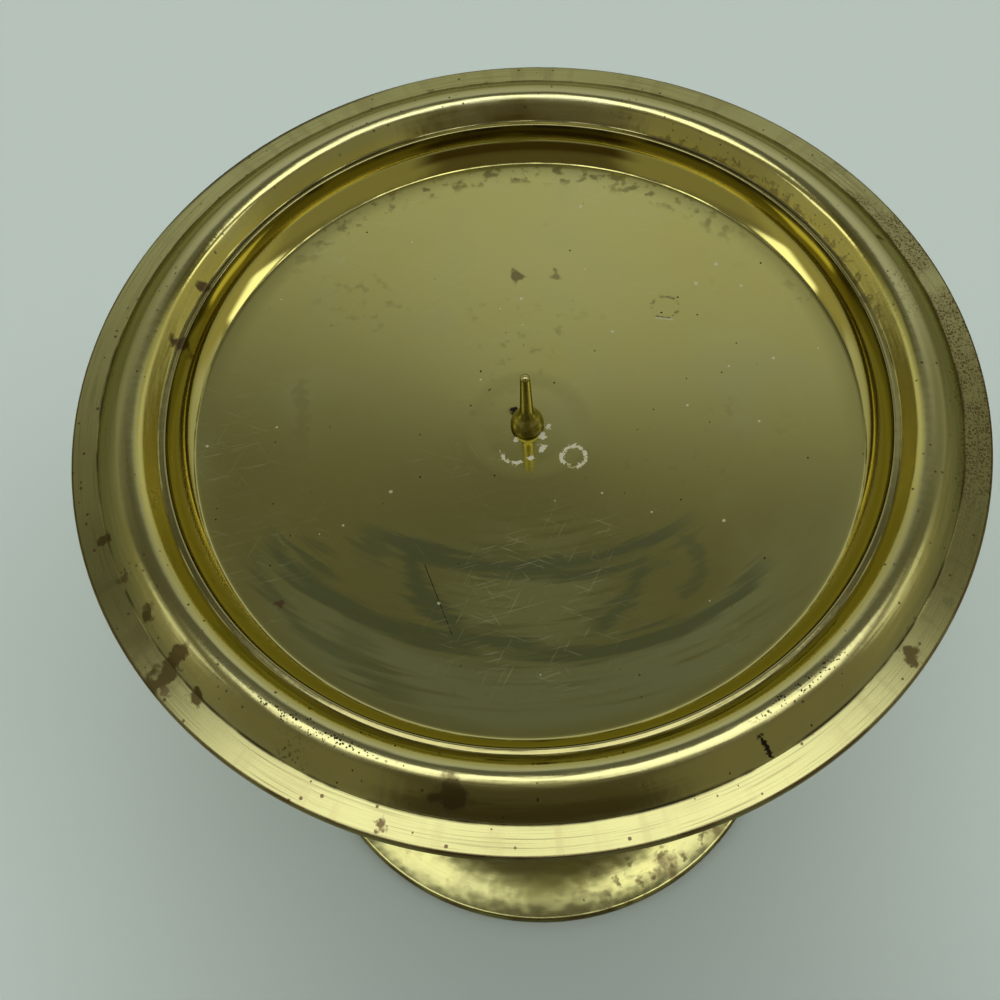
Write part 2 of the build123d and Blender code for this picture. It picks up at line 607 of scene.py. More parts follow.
@dataclass(frozen=True)
class Mark:
    """One mark on the pan, placed in metres from the spike.

    The size is the radius of a ring or a blot, or half a streak's width, and the width is half a ring's.
    A ragged edge follows the grain of the metal or, on a brushed mark, the streaks of the brush pattern.
    Where the grain is under the level of the gaps, nothing of the mark is left.
    """

    shape: Shape
    coat: Coat
    at: Point
    size: float
    width: float = 0.0
    end: Point = (0.0, 0.0)
    arc: Point | None = None
    ragged: float = 0.5
    strength: float = 1.0
    gaps: float = 0.0
    brushed: bool = False

    def share(self, board: Surface) -> Socket:
        """Draws the mark.

        Args:
            board: Surface that the mark is on.

        Returns:
            The socket that holds how much of the mark shows.
        """
        start = middle = (*self.at, 0.0)
        if self.shape is Shape.STREAK:
            run = Vector(self.end) - Vector(self.at)
            way = (*run.normalized(), 0.0)
            gone = board.vector("DOT_PRODUCT", board.vector("SUBTRACT", board.flat, start), way)
            held = board.node("Clamp", {"Value": gone, "Max": run.length}).outputs[0]
            middle = board.vector("MULTIPLY_ADD", held, way, start)
        off = board.vector("DISTANCE", board.flat, middle)
        half = self.size
        if self.shape is Shape.RING:
            off = board.math("ABSOLUTE", board.math("SUBTRACT", off, self.size))
            half = self.width
        scale = 2.0 ** round(math.log2(GRAIN_FIT / half))
        sway = EDGE_SWAY * self.ragged * half
        grain, core = (board.brush, STREAK_CORE) if self.brushed else (board.grain(scale), CORE)
        edge = board.math("MULTIPLY_ADD", grain, sway, off)
        share = board.fade(edge, half + 0.5 * sway, core * half + 0.5 * sway, self.strength)
        if self.gaps:
            share = board.times(share, board.blotches(scale / 2, self.gaps - GAP_SOFT, self.gaps + GAP_SOFT))
        if self.arc:
            way = board.vector("NORMALIZE", board.vector("SUBTRACT", board.flat, start))
            share = board.times(share, board.sector(way, *self.arc, ARC_FADE))
        return share


def metres(place: Point) -> Point:
    """Gives a place in metres from one in millimetres."""
    return place[0] * MM, place[1] * MM


def ring(
    coat: Coat, at: Point, radius: float, width: float, arc: Point | None = None, **looks: float
) -> Mark:
    """Marks a ring of a half width, or its part between two bearings, by its sizes in millimetres."""
    return Mark(Shape.RING, coat, metres(at), radius * MM, width * MM, arc=arc, **looks)


def blot(coat: Coat, at: Point, size: float, **looks: float) -> Mark:
    """Marks a round blot by its sizes in millimetres."""
    return Mark(Shape.BLOT, coat, metres(at), size * MM, **looks)


def streak(coat: Coat, at: Point, end: Point, width: float, **looks: float) -> Mark:
    """Marks a straight streak of a half width, by its sizes in millimetres."""
    return Mark(Shape.STREAK, coat, metres(at), width * MM, end=metres(end), **looks)


def brushed_band(at: Point, radius: float, width: float, arc: Point, strength: float) -> Mark:
    """Marks a dark grey-green band with streaky edges, by its sizes in millimetres."""
    return ring(Coat.SMEAR, at, radius, width, arc, ragged=STREAK_RAGGED, strength=strength, brushed=True)


def dots(coat: Coat, ragged: float, *places: Triple) -> tuple[Mark, ...]:
    """Marks blots of one kind, each by its place across and along and its size in millimetres."""
    return tuple(blot(coat, (across, along), size, ragged=ragged) for across, along, size in places)


@dataclass(frozen=True)
class PanBrass:
    """Brass of the pan: polished floor, satin brim, filmed bead, dark creases, pits, wax and scratches."""

    name: str = "pan_brass_finish"
    clean: Color = (0.385, 0.345, 0.110)
    polish: float = 0.10
    streaks_from: Point = (0.0, 22 * MM)
    hazy_ring: Point = (44 * MM, 54 * MM)
    brink_start: float = 51.5 * MM
    hazy_front: Sector = (-165, -15, 50)
    back: Sector = (18, 162, 24)
    reflecting_back: Sector = (62, 116, 14)
    # painted reflection: bearings of the pale patches on the back inner slope
    mottled_brink: Sector = (36, 146, 24)
    dark_rim: Sector = (104, 150, 16)
    fouled: Sector = (2, 82, 16)
    peppered: Sector = (-26, 46, 18)
    # painted sheen: bearings where the inner slope is painted brighter golden
    sheen_sides: tuple[Sector, ...] = ((148, 206, 18), (-26, 32, 18))
    # bearings where the bead is made darker olive
    darker_sides: tuple[Sector, ...] = ((140, 228, 28), (-48, 14, 24))
    scratched: tuple[Point, ...] = ((14, 0.68), (-24, 0.69), (62, 0.71), (121, 0.73))
    worn_front: Mark = blot(Coat.SCUFF, (0, -33), 21, ragged=0.7)
    # dark grey-green bands and blots, and one haze blot, with streaky edges across the floor
    brushed_marks: tuple[Mark, ...] = (
        brushed_band((1, 27), 53.4, 2.7, (-126, -58), 0.85),
        brushed_band((6, 60), 88, 1.5, (-111, -77), 0.8),
        brushed_band((-1, -22), 18.8, 2.4, (-186, -116), 0.8),
        brushed_band((-1, -22), 18.8, 2.2, (-64, -4), 0.7),
        brushed_band((6.8, -2.7), 39.1, 2.2, (-126, -36), 0.75),
        brushed_band((-7.7, 1.7), 40.8, 2.8, (-154, -84), 0.75),
        brushed_band((20.3, -27.5), 6, 1.7, (-75, 75), 0.55),
        brushed_band((-2, -3), 47.5, 2.0, (-160, -108), 0.5),
        blot(Coat.SMEAR, (-37, -26), 6.5, ragged=1.3, strength=0.65, brushed=True),
        blot(Coat.SMEAR, (-29, -38), 7, ragged=1.4, strength=0.35, brushed=True),
        blot(Coat.SMEAR, (-25, -21), 5, ragged=1.2, strength=0.60, brushed=True),
        blot(Coat.HAZE, (-1, -34), 19, ragged=0.6, strength=0.75, brushed=True),
    )
    wax: tuple[Mark, ...] = (
        ring(Coat.WAX, (7.4, -6.6), 1.95, 0.44, ragged=1.7, gaps=0.45),
        ring(Coat.WAX, (-2.4, -5.3), 2.1, 0.44, (-200, -50), ragged=1.7, gaps=0.45),
        *dots(Coat.WAX, 1.5, (3.5, -0.6, 0.55), (2.5, -2.4, 0.80), (2.2, -4.6, 0.72)),
        *dots(Coat.WAX, 1.5, (0.2, -6.5, 0.60), (-2.0, -2.8, 0.50)),
    )
    floor_marks: tuple[Mark, ...] = (
        blot(Coat.GRIME, (-2.2, 2.8), 1.0, ragged=0.9),
        *dots(Coat.GRIME, 0.5, (-7.5, 11.1, 0.26), (-6.2, 7.2, 0.22), (-9.4, 4.3, 0.22)),
        *dots(Coat.GRIME, 0.5, (4.9, 8.0, 0.24), (-5.8, -9.5, 0.24)),
        ring(Coat.TARNISH, (25.0, 22.3), 2.3, 0.35, ragged=1.6, strength=0.6, gaps=0.5),
        streak(Coat.SCUFF, (23.3, 20.2), (26.0, 19.6), 0.25, strength=0.7),
        blot(Coat.TARNISH, (-0.5, 30.9), 1.5, ragged=1.2, strength=0.7),
        blot(Coat.TARNISH, (6.4, 30.4), 1.3, ragged=1.4, strength=0.5),
        streak(Coat.STAIN, (-38.3, 10.0), (-37.6, -5), 1.5, ragged=1.1, strength=0.28),
        streak(Coat.GRIME, (-17.5, -25.3), (-13.4, -37.6), 0.12, ragged=0.4),
        blot(Coat.TARNISH, (-40.4, -31.1), 1.1, ragged=1.5),
    )
    rim_marks: tuple[Mark, ...] = (
        streak(Coat.STAIN, (-58.5, -46.5), (-53.5, -42.5), 2.0, ragged=1.2),
        blot(Coat.TARNISH, (-54.1, -43.3), 1.5, ragged=1.4, strength=0.8, gaps=0.46),
        blot(Coat.TARNISH, (-56.1, -47.2), 1.3, ragged=1.4, strength=0.8, gaps=0.46),
        *dots(Coat.STAIN, 1.4, (-51.5, -49.0, 1.8), (-59.3, -35.6, 1.6), (-67.5, -21.4, 1.3)),
        blot(Coat.TARNISH, (-63.7, -28.6), 1.2, ragged=1.4, strength=0.8),
        blot(Coat.TARNISH, (-23.8, -69.2), 1.2, ragged=1.2),
        blot(Coat.STAIN, (-12.9, -66.1), 3.2, ragged=1.1, strength=0.9),
        streak(Coat.GRIME, (31.0, -59.9), (32.4, -61.8), 0.5, ragged=1.3),
        *dots(Coat.TARNISH, 0.9, (-57.8, 14.9, 1.7), (-54.2, 26.1, 1.3)),
        blot(Coat.STAIN, (54.9, -47.5), 1.5, ragged=1.2),
        blot(Coat.HAZE, (62.3, -38.7), 1.3, ragged=0.8),
        blot(Coat.TARNISH, (61.2, 27.3), 0.9, ragged=1.0),
        ring(Coat.TARNISH, (0, 0), 60.4, 0.8, (4, 72), ragged=2.2, strength=0.6, gaps=0.50),
        ring(Coat.TARNISH, (0, 0), 68.7, 1.5, (56, 78), ragged=2.0, strength=0.7, gaps=0.50),
        ring(Coat.TARNISH, (0, 0), 69.0, 1.5, (88, 106), ragged=2.0, strength=0.7, gaps=0.50),
        ring(Coat.FILM, (2, 0), 69.8, 0.35, (142, 190), ragged=0.8, strength=0.8),
        ring(Coat.FILM, (-1.5, 1), 69.0, 0.30, (-12, 38), ragged=0.8, strength=0.8),
    )
    pitted: tuple[Mark, ...] = (
        ring(Coat.GRIME, (0, 0), 65.0, 0.8, (-134, -107), ragged=2.0),
        ring(Coat.GRIME, (0, 0), 67.0, 1.0, (-128, -116), ragged=1.8),
        ring(Coat.GRIME, (0, 0), 65.0, 0.8, (-64, -45), ragged=2.0),
        ring(Coat.GRIME, (0, 0), 69.4, 1.0, (60, 74), ragged=1.6),
        ring(Coat.GRIME, (0, 0), 68.8, 1.0, (92, 104), ragged=1.6),
    )

    def material(self, pan: "DripPan") -> Material:
        """Makes the finish as a material.

        Args:
            pan: Pan whose rings the finish follows.

        Returns:
            The new material.
        """
        board = Surface(self.name, self.clean, self.polish, graze=BRASS_GRAZE)
        board.brush = board.rays(24, 950, self.streaks_from, detail=4)
        self.tone(board, pan)
        self.turn_lines(board, pan)
        self.darken(board, pan)
        marks = self.brushed_marks + self.wax + self.floor_marks + self.rim_marks
        for coat in Coat:
            shares = [mark.share(board) for mark in marks if mark.coat is coat]
            if shares:
                board.lay(coat, board.most(*shares))
        self.wear(board, pan)
        return board.finish()

    def tone(self, board: Surface, pan: "DripPan") -> None:
        """Varies the metal's colour, lays the film of age on the bead and the brim, paints a sheen on the
        inner slope's left and right and a reflection on its back, and darkens the bead's left and right
        sides.

        Args:
            board: Surface of the finish.
            pan: Pan whose rings the finish follows.
        """
        board.lay(Coat.WARM, board.blotches(24, 0.40, 0.66))
        board.lay(Coat.HAZE, board.within(pan.floor_radius, MM), board.blotches(70, 0.5, 0.85), 0.5)
        hazy = board.times(board.band(*self.hazy_ring, 2 * MM), board.facing(self.hazy_front))
        board.lay(Coat.HAZE, hazy, board.fade(board.brush, 0.2, 0.5))
        inner = board.band(pan.floor_radius, pan.crest_radius - 0.9 * MM, 0.6 * MM)
        behind = board.facing(self.back)
        board.lay(Coat.GOLD, inner, board.blend(behind, 0.9, 0.4))
        slope_in = board.band(pan.ledge_outer_radius, pan.crest_radius - 1.2 * MM, 0.4 * MM)
        # painted sheen on the inner slope's left and right sides
        board.lay(Coat.AMBER, slope_in, board.facing(*self.sheen_sides), 0.85)
        board.lay(Coat.FILM, board.band(pan.ledge_inner_radius, pan.ledge_outer_radius, 0.2 * MM), 0.9)
        board.lay(Coat.DULL, board.band(pan.crest_radius - 0.9 * MM, pan.brim_inner_radius, 0.6 * MM), 0.9)
        pale = board.band(pan.ledge_outer_radius + 0.8 * MM, pan.crest_radius, 0.6 * MM)
        board.lay(Coat.DULL, pale, behind, board.most(board.blotches(60, 0.35, 0.6), 0.6))
        # painted reflection: pale patches on the inner slope at the back
        board.lay(Coat.SCUFF, slope_in, board.facing(self.reflecting_back), board.blotches(90, 0.25, 0.6), 0.8)
        slope_out = board.band(pan.crest_radius + 1.2 * MM, pan.brim_inner_radius, 0.8 * MM)
        board.lay(Coat.FILM, slope_out, board.blend(board.blotches(40, 0.3, 0.7), 0.5, 0.8))
        brim = board.beyond(pan.brim_inner_radius, 0.2 * MM)
        board.lay(Coat.SATIN, brim, 0.85)
        board.lay(Coat.FILM, brim, board.blotches(60, 0.45, 0.7), 0.5)
        outside = board.beyond(pan.crest_radius - 1.2 * MM, 0.8 * MM)
        # darker olive over the bead's left and right sides
        board.lay(Coat.OLIVE, board.facing(*self.darker_sides), outside, 0.6)
        board.lay(Coat.FILM, board.downward(0.0, -0.3), 0.55)
        board.emboss(0.012 * MM, board.math("SUBTRACT", board.grain(45, 1.0), 0.5))

    def turn_lines(self, board: Surface, pan: "DripPan") -> None:
        """Cuts the fine round lines of turning: strong on the brim, faint on the floor.

        Args:
            board: Surface of the finish.
            pan: Pan whose rings the finish follows.
        """
        fine = board.turned(board.radius, 5200)
        brim = board.beyond(pan.brim_inner_radius, 0.2 * MM)
        bead = board.band(pan.ledge_inner_radius, pan.brim_inner_radius, 0.2 * MM)
        board.lay(Coat.FILM, brim, board.fade(fine, 0.52, 0.64), board.blotches(160, 0.35, 0.65), 0.6)
        board.lay(Coat.STAIN, brim, board.fade(board.rays(26, 3600), 0.5, 0.75), 0.45)
        board.lay(Coat.FILM, brim, board.fade(board.rays(200, 60), 0.48, 0.72), 0.6)
        board.emboss(0.0035 * MM, brim, fine)
        board.emboss(0.0008 * MM, bead, fine)
        board.emboss(0.02 * MM, bead, board.rays(260, 500))
        board.emboss(0.08 * MM, bead, board.rays(24, 700))
        board.emboss(0.0006 * MM, board.within(pan.floor_radius, 0.2 * MM), board.turned(board.radius, 900))
        board.emboss(-0.018 * MM, board.within(pan.seat_radius, 2 * MM))

    def darken(self, board: Surface, pan: "DripPan") -> None:
        """Darkens the creases and the rim, and pits the bead and the brim.

        Args:
            board: Surface of the finish.
            pan: Pan whose rings the finish follows.
        """
        broken = board.blotches(130, 0.36, 0.60, detail=5)
        for radius, half_width in (
            (pan.brim_inner_radius, 0.40 * MM),
            (pan.ledge_outer_radius, 0.22 * MM),
            (pan.ledge_inner_radius, 0.14 * MM),
            (pan.floor_radius + 0.05 * MM, 0.20 * MM),
        ):
            board.lay(Coat.GRIME, board.seam(board.radius, radius, half_width), broken, 0.9)
        edge = board.beyond(pan.radius - 0.4 * MM, 0.15 * MM)
        board.lay(Coat.TARNISH, edge, board.most(board.blotches(90, 0.3, 0.6), 0.7))
        board.lay(Coat.GRIME, board.beyond(pan.radius - 0.8 * MM, 0.3 * MM), board.facing(self.dark_rim), 0.8)
        bead = board.band(pan.crest_radius - 3 * MM, pan.brim_inner_radius, 0.8 * MM)
        patches = [mark.share(board) for mark in self.pitted]
        groups = board.most(*patches, board.blotches(38, 0.60, 0.72, detail=4))
        board.lay(Coat.GRIME, bead, groups, board.specks(2300, 0.52, 0.46))
        board.lay(Coat.TARNISH, bead, board.specks(800, 0.16, 0.08))
        slope = board.band(pan.ledge_outer_radius, pan.crest_radius, MM)
        foul = board.specks(1500, 0.30, 0.14, Space.SOLID)
        board.lay(Coat.TARNISH, slope, board.facing(self.fouled), foul, 0.8)
        outer = board.times(board.beyond(pan.brim_inner_radius - MM, MM), board.facing(self.peppered))
        pepper = board.times(outer, board.blotches(110, 0.26, 0.52))
        board.lay(Coat.TARNISH, pepper, 0.3)
        board.lay(Coat.STAIN, pepper, board.specks(2500, 0.50, 0.70))
        brim = board.beyond(pan.brim_inner_radius, 0.2 * MM)
        board.lay(Coat.TARNISH, brim, board.specks(620, 0.17, 0.14))

    def wear(self, board: Surface, pan: "DripPan") -> None:
        """Mottles the floor's edge behind, and scatters specks and fine scratches over the floor.

        Args:
            board: Surface of the finish.
            pan: Pan whose rings the finish follows.
        """
        floor = board.within(pan.floor_radius, MM)
        brink = board.band(self.brink_start, pan.floor_radius, MM)
        board.lay(Coat.STAIN, brink, board.facing(self.mottled_brink), board.blotches(420, 0.50, 0.64), 0.5)
        board.lay(Coat.STAIN, floor, board.blotches(45, 0.50, 0.65), board.blotches(420, 0.58, 0.70), 0.22)
        board.lay(Coat.GRIME, floor, board.specks(330, 0.055, 0.055))
        board.lay(Coat.SCUFF, floor, board.specks(260, 0.08, 0.04))
        front = self.worn_front.share(board)
        board.lay(Coat.SMEAR, front, board.fade(board.brush, 0.52, 0.66), 0.35)
        worn = board.most(board.times(board.blotches(30, 0.45, 0.65), 0.6), front)
        for turn, first in self.scratched:
            board.lay(Coat.SCUFF, floor, worn, board.scratches(turn, first), 0.5)


@dataclass(frozen=True)
class FootBrass:
    """Brass of the foot: polished, with turned lines, brown spots to the front right and a dull inside."""

    name: str = "foot_brass_finish"
    clean: Color = (0.270, 0.250, 0.092)
    polish: float = 0.21
    spotted_front: Sector = (-90, -26, 24)

    def material(self, foot: "Foot") -> Material:
        """Makes the finish as a material.

        Args:
            foot: Foot whose sizes the finish follows.

        Returns:
            The new material.
        """
        board = Surface(self.name, self.clean, self.polish, graze=BRASS_GRAZE)
        board.lay(Coat.WARM, board.blotches(26, 0.42, 0.66), 0.5)
        lines = board.turned(board.radius, 2600)
        board.lay(Coat.FILM, board.fade(lines, 0.52, 0.64), 0.25)
        board.emboss(0.0012 * MM, lines)
        board.emboss(0.09 * MM, board.grain(50, 1.0))
        board.emboss(0.11 * MM, board.grain(260, 1.0))
        spotted = board.most(board.facing(self.spotted_front), 0.2)
        board.lay(Coat.TARNISH, spotted, board.blotches(190, 0.50, 0.66), 0.8)
        board.lay(Coat.STAIN, spotted, board.blotches(420, 0.56, 0.70), 0.8)
        board.lay(Coat.GRIME, board.specks(420, 0.10, 0.10, Space.SOLID))
        edge = board.beyond(foot.radius - 0.5 * MM, 0.2 * MM)
        board.lay(Coat.TARNISH, edge, board.blotches(80, 0.35, 0.6), 0.8)
        board.lay(Coat.FILM, board.downward(-0.02, -0.25), 0.7)
        return board.finish()


@dataclass(frozen=True)
class TurnedBrass:
    """Brass of the spindle pieces: polished along the axis, brown in their hollows."""

    name: str
    clean: Color = (0.42, 0.365, 0.105)
    polish: float = 0.12
    warmth: float = 1.0

    def material(self, *hollows: Point) -> Material:
        """Makes the finish as a material.

        Args:
            *hollows: Height and half width of each groove that holds tarnish.

        Returns:
            The new material.
        """
        board = Surface(self.name, self.clean, self.polish, graze=BRASS_GRAZE)
        board.lay(Coat.WARM, board.blotches(60, 0.42, 0.66), self.warmth)
        lines = board.turned(board.z, 3200)
        board.lay(Coat.FILM, board.fade(lines, 0.54, 0.66), 0.3)
        board.emboss(0.0012 * MM, lines)
        broken = board.blotches(220, 0.25, 0.55)
        for height, half_width in hollows:
            board.lay(Coat.GRIME, board.seam(board.z, height, half_width), broken)
        board.lay(Coat.TARNISH, board.specks(700, 0.16, 0.12, Space.SOLID))
        return board.finish()


@dataclass(frozen=True)
class PlatedSteel:
    """Dull plated steel of the fasteners, with a little rust."""

    name: str
    clean: Color = (0.42, 0.42, 0.40)
    polish: float = 0.34

    def material(self) -> Material:
        """Makes the finish as a material.

        Returns:
            The new material.
        """
        board = Surface(self.name, self.clean, self.polish)
        board.lay(Coat.HAZE, board.blotches(160, 0.4, 0.7), 0.35)
        board.emboss(0.002 * MM, board.turned(board.radius, 2400))
        board.lay(Coat.RUST, board.blotches(240, 0.58, 0.70), 0.8)
        board.lay(Coat.GRIME, board.specks(900, 0.35, 0.3, Space.SOLID))
        return board.finish()


class TurnedPiece(ABC):
    """Piece that is turned from an outline and stands in a CAD node's place."""

    name: str
    node: str
    slot: str

    @abstractmethod
    def outline(self) -> list[Vector]:
        """Draws the closed half section."""

    @abstractmethod
    def finish(self) -> Material:
        """Makes the finish."""

    def shape(self, lathe: Lathe) -> Piece:
        """Turns the piece from its outline."""
        return lathe.turn(self.name, self.outline())

    def build(self, lathe: Lathe) -> Piece:
        """Makes the piece and puts it in its CAD node's place.

        Args:
            lathe: Lathe that spins the outline.

        Returns:
            The finished piece.
        """
        piece = self.shape(lathe)
        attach(piece, BODY)
        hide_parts(self.node)
        return piece

    def dress(self, piece: Piece) -> None:
        """Gives the piece its finish."""
        piece.data.materials.append(self.finish())


@dataclass
class DripPan(TurnedPiece):
    """Round pan with a turned brim, a bead, a ledge, a hollowed side and a dished floor."""

    name, node, slot = "pan", "drip_pan", "pan_brass"
    wall: float = 2.0 * MM
    brim_width: float = 4.6 * MM
    brim_fall: float = 1.0 * MM
    bead_outer_run: float = 6.59 * MM
    bead_rise: float = 5.42 * MM
    flank_swell: float = 0.2 * MM
    flank_turn: float = 0.45
    bead_inner_run: float = 3.51 * MM
    bead_drop: float = 5.09 * MM
    crest_inside: float = 2.6 * MM
    crest_outside: float = 4.4 * MM
    crest_shift: float = 0.5 * MM
    crease_round: float = 0.3 * MM
    ledge_width: float = 1.2 * MM
    ledge_fall: float = 0.31 * MM
    ledge_round: float = 0.4 * MM
    side_run: float = 3.3 * MM
    side_drop: float = 6.57 * MM
    side_start: float = 46.0
    side_turn: Point = (2.2 * MM, 2.75 * MM)
    floor_round: float = 0.3 * MM
    floor_dip: float = 0.02 * MM
    cove_width: float = 3.8 * MM
    cove_rise: float = 0.22 * MM
    dish_rise: float = 0.8 * MM
    seat_radius: float = 9.0 * MM
    flat_margin: float = 1.0 * MM
    rim_round: float = 0.5 * MM
    hole_radius: float = 2.2 * MM

    def __post_init__(self) -> None:
        """Works the pan's places out from its CAD box."""
        low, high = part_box(self.node)
        self.radius = high.x
        self.floor_z = low.z + self.wall
        self.brim_inner_radius = self.radius - self.brim_width
        self.apex_radius = self.brim_inner_radius - self.bead_outer_run
        self.crest_radius = self.apex_radius + self.crest_shift
        self.ledge_outer_radius = self.apex_radius - self.bead_inner_run
        self.ledge_inner_radius = self.ledge_outer_radius - self.ledge_width
        self.floor_radius = self.ledge_inner_radius - self.side_run
        self.dish_radius = self.floor_radius - self.cove_width
        self.dish_edge_z = self.floor_z + self.dish_rise
        self.floor_edge_z = self.dish_edge_z + self.cove_rise
        self.ledge_z = self.floor_edge_z + self.side_drop
        self.ledge_outer_z = self.ledge_z - self.ledge_fall
        self.apex_z = self.ledge_outer_z + self.bead_drop
        self.brim_inner_z = self.apex_z - self.bead_rise
        self.rim_z = self.brim_inner_z - self.brim_fall

    def outline(self) -> list[Vector]:
        """Draws the pan's half section: the top from the hole to the rim, then back underneath.

        Returns:
            Points of the closed section.
        """
        top = Outline(self.hole_radius, self.floor_z)
        top.line(self.seat_radius + self.flat_margin, self.floor_z)
        top.arc(self.dish_radius, self.dish_edge_z, steps=24)
        top.arc(self.floor_radius - self.floor_round, self.floor_edge_z - self.floor_dip, steps=8)
        start = math.radians(self.side_start)
        across, up = self.floor_round * math.cos(start), self.floor_round * math.sin(start)
        top.arc(self.floor_radius + across, self.floor_edge_z + up, steps=6)
        top.arc(self.floor_radius + self.side_turn[0], self.floor_edge_z + self.side_turn[1])
        top.arc(self.ledge_inner_radius, self.ledge_z)
        top.rounds[-1] = self.ledge_round
        top.line(self.ledge_outer_radius, self.ledge_outer_z, self.crease_round)
        apex = Vector((self.apex_radius, self.apex_z))
        brim = Vector((self.brim_inner_radius, self.brim_inner_z))
        out = Vector((self.bead_rise, self.bead_outer_run)).normalized()
        flank = apex.lerp(brim, self.flank_turn) + self.flank_swell * out
        inner_end, crest, outer_end = self.crest(top.points[-1], apex, flank)
        top.line(*inner_end).arc(*crest).arc(*outer_end)
        top.line(*flank).arc(*brim, steps=8)
        top.rounds[-1] = self.crease_round
        top.line(self.radius, self.rim_z)
        fall = math.atan2(self.brim_fall, self.brim_width)
        under_rim = (self.radius, self.rim_z - self.wall / math.cos(fall), self.rim_round)
        return top.sheet(self.wall, self.rim_round, under_rim)

    def crest(self, crease: Vector, apex: Vector, flank: Vector) -> tuple[Vector, Vector, Vector]:
        """Rounds the bead's apex with two arcs that meet level at the top.

        Args:
            crease: Foot of the inner slope.
            apex: Corner where the inner slope and the flank would meet.
            flank: Point on the flank.

        Returns:
            The start of the inner arc, the top, and the end of the outer arc.
        """
        inward, outward = (crease - apex).normalized(), (flank - apex).normalized()
        inner_lean, outer_lean = math.asin(-inward.y), math.asin(-outward.y)
        inner_cut = self.crest_inside * math.tan(inner_lean / 2)
        outer_cut = self.crest_outside * math.tan(outer_lean / 2)
        fall = (inner_cut + outer_cut) / (1 / math.tan(inner_lean) + 1 / math.tan(outer_lean))
        start = apex + inward * (fall / math.sin(inner_lean) + inner_cut)
        end = apex + outward * (fall / math.sin(outer_lean) + outer_cut)
        return start, apex + Vector((inner_cut - fall / math.tan(inner_lean), -fall)), end

    def finish(self) -> Material:
        """Makes the aged brass of the pan."""
        return PanBrass().material(self)


@dataclass
class Pricket(TurnedPiece):
    """Blunt spike on a bell collar, with the tail that clamps the pan to the stem."""

    name, node, slot = "spike", "pricket", "turned_brass"
    floor_z: float
    tip_radius: float = 0.8 * MM
    tip_dome: float = 0.6 * MM
    shaft_radius: float = 1.1 * MM
    flare_height: float = 5.2 * MM
    bell_radius: float = 2.0 * MM
    bell_height: float = 2.7 * MM
    collar_edge: float = 0.5 * MM
    edge_round: float = 0.15 * MM
    tail_radius: float = 2.0 * MM
    tail_chamfer: float = 0.4 * MM
    grime_and_shadow_rise: float = 0.9 * MM
    clean: Color = (0.285, 0.258, 0.096)

    def outline(self) -> list[Vector]:
        """Draws the half section from the tip down to the end of the tail.

        Returns:
            Points of the closed section.
        """
        low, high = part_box(self.node)
        half = Outline(0, high.z)
        half.arc(self.tip_radius, high.z - self.tip_dome, (1, 0), steps=8)
        half.line(self.shaft_radius, self.floor_z + self.flare_height)
        half.arc(self.bell_radius, self.floor_z + self.bell_height, steps=10)
        half.arc(high.x, self.floor_z + self.collar_edge, steps=10)
        half.rounds[-1] = self.edge_round
        half.line(high.x, self.floor_z).line(self.tail_radius, self.floor_z)
        half.line(self.tail_radius, low.z + self.tail_chamfer)
        half.line(self.tail_radius - self.tail_chamfer, low.z)
        return half.line(0, low.z).path()

    def finish(self) -> Material:
        """Makes the brass of the spike, with grime and a painted shadow where it stands on the pan."""
        brass = TurnedBrass("spike_brass_finish", clean=self.clean, polish=0.31, warmth=0.2)
        # grime and painted shadow: a dark band round the collar's foot
        return brass.material((self.floor_z, self.grime_and_shadow_rise))


@dataclass
class Stem(TurnedPiece):
    """Solid baluster with a ringed knop between two hollowed necks."""

    name, node, slot = "baluster", "stem", "turned_brass"
    seat_radius: float = 9.0 * MM
    seat_edge: float = 2.5 * MM
    neck_radius: float = 5.5 * MM
    knop_radius: float = 10.5 * MM
    knop_height: float = 15.0 * MM
    ring_radius: float = 7.0 * MM
    ring_width: float = 2.6 * MM
    base_edge: float = 2.5 * MM
    edge_round: float = 0.4 * MM
    tenon_radius: float = 4.0 * MM
    tap_radius: float = 2.05 * MM
    tap_depth: float = 12.0 * MM
    groove_half: float = 0.6 * MM

    def __post_init__(self) -> None:
        """Works the stem's places out from its CAD box and the foot's."""
        low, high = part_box(self.node)
        self.bottom_z, self.top_z = low.z, high.z
        self.base_radius = high.x
        self.base_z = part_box("foot")[1].z
        self.seat_under_z = self.top_z - self.seat_edge
        self.base_top_z = self.base_z + self.base_edge
        self.knop_z = (self.seat_under_z + self.base_top_z) / 2
        self.knop_top_z = self.knop_z + self.knop_height / 2
        self.knop_bottom_z = self.knop_z - self.knop_height / 2
        self.upper_neck_z = self.knop_top_z + self.ring_width
        self.lower_neck_z = self.knop_bottom_z - self.ring_width

    def outline(self) -> list[Vector]:
        """Draws the half section from the tapped hole round to the tenon.

        Returns:
            Points of the closed section.
        """
        half = Outline(0, self.top_z - self.tap_depth)
        half.line(self.tap_radius, self.top_z - self.tap_depth)
        half.line(self.tap_radius, self.top_z)
        half.line(self.seat_radius, self.top_z, self.edge_round)
        half.line(self.seat_radius, self.seat_under_z, self.edge_round)
        half.arc(self.neck_radius, self.upper_neck_z, (0, -1), steps=20, arriving=True)
        half.bow(self.neck_radius, self.knop_top_z, self.neck_radius - self.ring_radius)
        half.bow(self.neck_radius, self.knop_bottom_z, self.neck_radius - self.knop_radius)
        half.bow(self.neck_radius, self.lower_neck_z, self.neck_radius - self.ring_radius)
        half.arc(self.base_radius, self.base_top_z, (0, -1), steps=20)
        half.rounds[-1] = self.edge_round
        half.line(self.base_radius, self.base_z).line(self.tenon_radius, self.base_z)
        return half.line(self.tenon_radius, self.bottom_z).line(0, self.bottom_z).path()

    def finish(self) -> Material:
        """Makes the brass of the stem, with grime in its grooves."""
        grooves = (self.upper_neck_z, self.knop_top_z, self.knop_bottom_z, self.lower_neck_z)
        return TurnedBrass("baluster_brass_finish").material(*((z, self.groove_half) for z in grooves))


